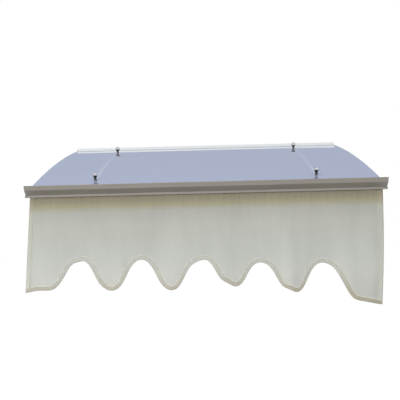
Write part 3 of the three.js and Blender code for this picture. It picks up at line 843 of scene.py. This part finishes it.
# %% [markdown]
# ## The cloth panel
#
# The panel is a grid of small squares from the top edge down to the hem, with columns as close as
# the folds need. Two such grids, a cloth's thickness apart and closed round the rim, make a solid
# sheet, so light and shadow treat it as cloth with two sides.

# %% Cloth panel
CLOTH = 0.9 * MM
COLUMNS, ROWS = 420, 64


def sew_on(name, body, material):
    """Turn a bmesh into a cloth piece that rides on the canopy and knows its drop."""
    bmesh.ops.recalc_face_normals(body, faces=body.faces)
    for face in body.faces:
        face.smooth = True
    mesh = bpy.data.meshes.new(name)
    body.to_mesh(mesh)
    body.free()
    drops = mesh.attributes.new("drop", "FLOAT", "POINT")
    for vertex, drop in zip(mesh.vertices, drops.data):
        drop.value = max(cloth_high.z - vertex.co.z, 0)
    mesh.materials.append(material)
    piece = bpy.data.objects.new(name, mesh)
    scene.collection.objects.link(piece)
    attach(piece, "root")
    return piece


def closed_sheet(name, material, columns, rows, place, thickness):
    """A closed sheet of cloth: place(u, v, proud) gives its points, with u and v from 0 to 1."""
    body = bmesh.new()
    layers = []
    for proud in (thickness / 2, -thickness / 2):
        layers.append(
            [
                [body.verts.new(place(i / columns, j / rows, proud)) for j in range(rows + 1)]
                for i in range(columns + 1)
            ]
        )
    front, back = layers
    for i in range(columns):
        for j in range(rows):
            corners = ((i, j), (i, j + 1), (i + 1, j + 1), (i + 1, j))
            body.faces.new([front[a][b] for a, b in corners])
            body.faces.new([back[a][b] for a, b in reversed(corners)])
    rim = [(i, 0) for i in range(columns)]
    rim += [(columns, j) for j in range(rows)]
    rim += [(i, rows) for i in range(columns, 0, -1)]
    rim += [(0, j) for j in range(rows, 0, -1)]
    for (a, b), (c, d) in zip(rim, rim[1:] + rim[:1]):
        body.faces.new((front[a][b], front[c][d], back[c][d], back[a][b]))
    return sew_on(name, body, material)


def panel_place(u, v, proud):
    across = 2 * u - 1
    return hang(across, v * hem_drop(across * HALF_CUT + lean(across)), proud)


panel = closed_sheet("valance_panel", single_canvas, COLUMNS, ROWS, panel_place, CLOTH)
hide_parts("valance")
print(f"panel of {len(panel.data.polygons)} faces")

# %% [markdown]
# ## Hems
#
# The top hem is folded to the back into a band that takes the rod, so from the front it shows only
# as a change of tone and a seam. Narrow hems run down both sides. Each is a second layer of cloth,
# so each is a closed strip made by the same function: the top hem behind the panel, the side hems
# wrapped round it.

# %% Top and side hems
TOP_HEM = 46 * MM
SIDE_HEM = 15 * MM
HEM_LAYER = CLOTH + 0.5 * MM


def top_hem_place(u, v, proud):
    return hang(2 * u - 1, v * TOP_HEM, proud - CLOTH)


def side_hem_place(side):
    def place(u, v, proud):
        across = side * (1.0004 - u * SIDE_HEM / HALF_CUT)
        drop = hem_drop(across * HALF_CUT + lean(across))
        return hang(across, v * drop, proud * 1.1)

    return place


hems = [closed_sheet("valance_top_hem", single_canvas, COLUMNS, 8, top_hem_place, CLOTH)]
for name, side in (("left", -1), ("right", 1)):
    hems.append(
        closed_sheet(
            f"valance_side_hem_{name}", hem_canvas, 4, ROWS, side_hem_place(side), HEM_LAYER
        )
    )
print(f"{len(hems)} hems")

# %% [markdown]
# ## Binding
#
# The scalloped edge is bound with a tape folded over it. A tape keeps its width along a curve, so it
# can't be a fixed height above the hem: on the flanks of a scallop that would be too narrow. Instead
# a flat oval section is swept along the hem, with its inner side set square to the hem's direction.
# Where the tape is turned under, its inner edge is thicker and catches the light, so a narrow fold is
# swept along that edge, and one runs down each side hem; the fold's paler tone is a painted
# highlight.

# %% Binding tape
BINDING = 11.5 * MM
FOLD_WIDTH = 3.2 * MM
BINDING_STEPS = 560
BINDING_HALF = 1.35 * MM  # half the thickness of tape, cloth and tape
FOLD_HALF = 1.8 * MM
TAPE_SECTION = (  # share of the width from the edge, share of the half thickness
    (-0.05, 0.0),
    (-0.03, 0.6),
    (0.08, 1.0),
    (0.5, 0.95),
    (0.93, 0.9),
    (1.0, 0.6),
    (1.0, -0.6),
    (0.93, -0.9),
    (0.5, -0.95),
    (0.08, -1.0),
    (-0.03, -0.6),
)


def inside_hem(along, inset):
    """Across and drop of the point at this distance inside the hem, square to it."""
    step = 0.02  # a share of half the width, wide enough to turn smoothly round a scallop
    points = []
    for place in (along - step, along + step):
        place = min(max(place, -1), 1)
        points.append((place * HALF_CUT, hem_drop(place * HALF_CUT + lean(place))))
    (x0, d0), (x1, d1) = points
    length = math.hypot(x1 - x0, d1 - d0)
    slope_x, slope_d = (x1 - x0) / length, (d1 - d0) / length
    across = along + inset * slope_d / HALF_CUT
    drop = hem_drop(along * HALF_CUT + lean(along)) - inset * slope_x
    return min(max(across, -1), 1), drop


def sweep_tape(name, material, inner, width, half):
    """A tape that starts inside the hem: its section at every step, joined, with closed ends."""
    body = bmesh.new()
    loops = []
    for i in range(BINDING_STEPS + 1):
        along = -1 + 2 * i / BINDING_STEPS
        loop = []
        for inset, proud in TAPE_SECTION:
            across, drop = inside_hem(along, inner + inset * width)
            loop.append(body.verts.new(hang(across, drop, proud * half)))
        loops.append(loop)
    count = len(TAPE_SECTION)
    for loop, after in zip(loops, loops[1:]):
        for k in range(count):
            k1 = (k + 1) % count
            body.faces.new((loop[k], loop[k1], after[k1], after[k]))
    body.faces.new(loops[0])
    body.faces.new(loops[-1])
    return sew_on(name, body, material)


binding = sweep_tape("valance_binding", binding_tape, 0, BINDING, BINDING_HALF)
# The fold is paler as a painted highlight where the tape turns under.
folds = [sweep_tape("valance_binding_fold", fold_painted_highlight_canvas, BINDING, FOLD_WIDTH, FOLD_HALF)]


def side_fold_place(side):
    def place(u, v, proud):
        across = side * (1 - (SIDE_HEM + u * FOLD_WIDTH) / HALF_CUT)
        drop = hem_drop(across * HALF_CUT + lean(across)) - BINDING
        return hang(across, 4 * MM + v * (drop - 4 * MM), proud)

    return place


for name, side in (("left", -1), ("right", 1)):
    fold_name = f"valance_side_fold_{name}"
    folds.append(closed_sheet(fold_name, fold_painted_highlight_canvas, 2, ROWS, side_fold_place(side), FOLD_HALF))
print(f"binding of {len(binding.data.polygons)} faces and {len(folds)} folds")

# %% [markdown]
# ## Stitching
#
# Straight seams hold the hems and the tape. Each stitch is a short bar of thread that dips into the
# cloth at both ends. Modelled thread catches light and casts a shadow as real thread does, and one
# mesh can hold all of it. Real stitches of this size are about 3 mm apart; they are drawn every
# 5 mm and a little thick so that the seams show.

# %% Stitching
STITCH_PITCH = 5 * MM
STITCH_LENGTH = 3.6 * MM
THREAD_RADIUS = 0.45 * MM
SEAM_INSET = 2.5 * MM  # from the inner edge of a hem or of the tape
STITCH_RINGS = (  # share of the length, and shares of the radius: size and height
    (0, 0.35, -0.3),
    (0.2, 1, 0.5),
    (0.8, 1, 0.5),
    (1, 0.35, -0.3),
)


def seam(length, place, surface):
    """Stitches along a seam: place(distance) gives across and drop, surface how proud they sit."""
    bars = []
    for i in range(int(length / STITCH_PITCH)):
        start = (i + 0.5) * STITCH_PITCH - STITCH_LENGTH / 2
        rings = []
        for share, size, height in STITCH_RINGS:
            middle = hang(*place(start + share * STITCH_LENGTH), surface + height * THREAD_RADIUS)
            rings.append((middle, size * THREAD_RADIUS))
        bars.append(rings)
    return bars


def thread_mesh(bars):
    """One mesh of all stitches, each a four-sided bar through its rings."""
    body = bmesh.new()
    for rings in bars:
        run = (rings[-1][0] - rings[0][0]).normalized()
        side = run.cross(Vector((0, 1, 0))).normalized()
        out = side.cross(run)
        loops = []
        for middle, radius in rings:
            corners = (side, out, -side, -out)
            loops.append([body.verts.new(middle + corner * radius) for corner in corners])
        for loop, after in zip(loops, loops[1:]):
            for k in range(4):
                k1 = (k + 1) % 4
                body.faces.new((loop[k], loop[k1], after[k1], after[k]))
        body.faces.new(loops[0])
        body.faces.new(loops[-1])
    return sew_on("valance_stitching", body, thread)


hem_points = [inside_hem(-1 + 2 * i / 2000, BINDING - SEAM_INSET) for i in range(2001)]
hem_lengths = [0.0]
for (a0, d0), (a1, d1) in zip(hem_points, hem_points[1:]):
    hem_lengths.append(hem_lengths[-1] + math.hypot((a1 - a0) * HALF_CUT, d1 - d0))


def along_binding(distance):
    index = next((i for i, at in enumerate(hem_lengths) if at >= distance), len(hem_lengths) - 1)
    return hem_points[index]


def along_top(distance):
    return distance / HALF_CUT - 1, TOP_HEM - SEAM_INSET


def along_side(side):
    return lambda distance: (side * (1 - (SIDE_HEM - SEAM_INSET) / HALF_CUT), TOP_HEM + distance)


stitches = seam(2 * HALF_CUT, along_top, CLOTH / 2)
stitches += seam(hem_lengths[-1], along_binding, BINDING_HALF * 0.92)
for side in (-1, 1):
    reach = hem_drop(side * HALF_CUT + lean(side)) - TOP_HEM - BINDING
    stitches += seam(reach, along_side(side), HEM_LAYER * 0.55)
stitching = thread_mesh(stitches)
print(f"{len(stitches)} stitches")

# %% [markdown]
# ## The cloth as one piece of sheet goods
#
# Panel, hems, tape and stitches are one sewn article. The keder rod in the gutter rail's channel is
# all that holds it up.

# %% [markdown]
# ## Floor and backdrop
#
# The canopy hangs over a doorway, so the floor is a door's height below it, pale and plain. The
# photograph's background is pure white. Lighting a floor until it looks white would bleach the
# canopy, so the world and the floor are white only to rays from the camera and to rays that were
# mirrored or let through, and stay modest as sources of light.

# %% Floor and world
FLOOR_HEIGHT = -2.4
FLOOR_REACH = 30
FLOOR_CORNERS = ((-1, -1), (1, -1), (1, 1), (-1, 1))
FLOOR_LIFT = 0.87  # brings the lit paint up to white


def seen_ray(tree):
    """One for a ray from the camera, a mirrored ray or a ray let through, and otherwise nought."""
    paths = add_node(tree, "LightPath")
    direct = add_node(
        tree,
        "Math",
        links={0: paths.outputs["Is Camera Ray"], 1: paths.outputs["Is Glossy Ray"]},
        operation="MAXIMUM",
    )
    seen = add_node(
        tree,
        "Math",
        links={0: direct.outputs["Value"], 1: paths.outputs["Is Transmission Ray"]},
        operation="MAXIMUM",
    )
    return seen.outputs["Value"]


plain_floor, tree = new_material("pale_studio_floor")
lift = add_node(tree, "Math", {1: FLOOR_LIFT}, {0: seen_ray(tree)}, operation="MULTIPLY")
paint = add_node(tree, "BsdfDiffuse", {"Color": linear("#8E8D8B")})
glow = add_node(
    tree, "Emission", {"Color": linear("#FFFFFF")}, {"Strength": lift.outputs["Value"]}
)
both = add_node(tree, "AddShader", links={0: paint.outputs["BSDF"], 1: glow.outputs["Emission"]})
add_node(tree, "OutputMaterial", links={"Surface": both.outputs["Shader"]})

floor_mesh = bpy.data.meshes.new("studio_floor")
floor_mesh.from_pydata(
    [(x * FLOOR_REACH, y * FLOOR_REACH, FLOOR_HEIGHT) for x, y in FLOOR_CORNERS],
    [],
    [(0, 1, 2, 3)],
)
floor_mesh.materials.append(plain_floor)
floor = bpy.data.objects.new("studio_floor", floor_mesh)
scene.collection.objects.link(floor)

world = bpy.data.worlds.new("white_studio")
scene.world = world
world.use_nodes = True
tree = world.node_tree
tree.nodes.clear()
level = add_node(tree, "MapRange", {"To Min": 0.5, "To Max": 1}, {"Value": seen_ray(tree)})
sky = add_node(
    tree, "Background", {"Color": linear("#FFFFFF")}, {"Strength": level.outputs["Result"]}
)
add_node(tree, "OutputWorld", links={"Surface": sky.outputs["Background"]})
print("floor and world")

# %% [markdown]
# ## Light
#
# Four large soft boxes do the rest: one overhead, which lights the sheet and the domes of the knobs,
# one in front, which lights the rail and the cloth, and two low ones behind, so that the brackets and
# the back of the cloth can be seen from there. They light the canopy but aren't mirrored in it, since
# their edges would show in the glossy sheet. A glossy sheet seen at a shallow angle shows mostly what
# it mirrors, and in the photograph that is a flat blue-grey sky. So a large card of that colour
# stands behind the canopy, as a photographer would place one. The camera doesn't see it.

# %% Soft boxes and sky card
def soft_box(name, place, aim, width, height, watts):
    """A rectangular area lamp at place that faces aim."""
    lamp = bpy.data.lights.new(name, "AREA")
    lamp.shape = "RECTANGLE"
    lamp.size, lamp.size_y = width, height
    lamp.energy = watts
    box = bpy.data.objects.new(name, lamp)
    box.location = place
    box.rotation_euler = (Vector(aim) - Vector(place)).to_track_quat("-Z", "Y").to_euler()
    box.visible_glossy = False
    scene.collection.objects.link(box)
    return box


MIDDLE = (cad_low + cad_high) / 2
soft_box("overhead_box", (-0.4, -0.9, 2.6), MIDDLE, 3.0, 2.4, 62)
soft_box("front_box", (-1.0, -4.6, 0.9), MIDDLE, 3.0, 2.0, 88)
for side in (-1, 1):
    soft_box(f"rear_box_{side}", (2.4 * side, 2.8, -1.2), MIDDLE, 2.4, 2.0, 55)

CARD_REACH, CARD_BEHIND, CARD_FOOT, CARD_TOP = 18, 2.6, 0.05, 14
sky_colour, tree = new_material("blue_grey_sky_card")
card_glow = add_node(tree, "Emission", {"Color": linear("#ABB3C8"), "Strength": 1})
add_node(tree, "OutputMaterial", links={"Surface": card_glow.outputs["Emission"]})
card_mesh = bpy.data.meshes.new("sky_card")
card_mesh.from_pydata(
    [
        (-CARD_REACH, CARD_BEHIND, CARD_FOOT),
        (CARD_REACH, CARD_BEHIND, CARD_FOOT),
        (CARD_REACH, CARD_BEHIND, CARD_TOP),
        (-CARD_REACH, CARD_BEHIND, CARD_TOP),
    ],
    [],
    [(0, 1, 2, 3)],
)
card_mesh.materials.append(sky_colour)
card = bpy.data.objects.new("sky_card", card_mesh)
card.visible_camera = False
scene.collection.objects.link(card)
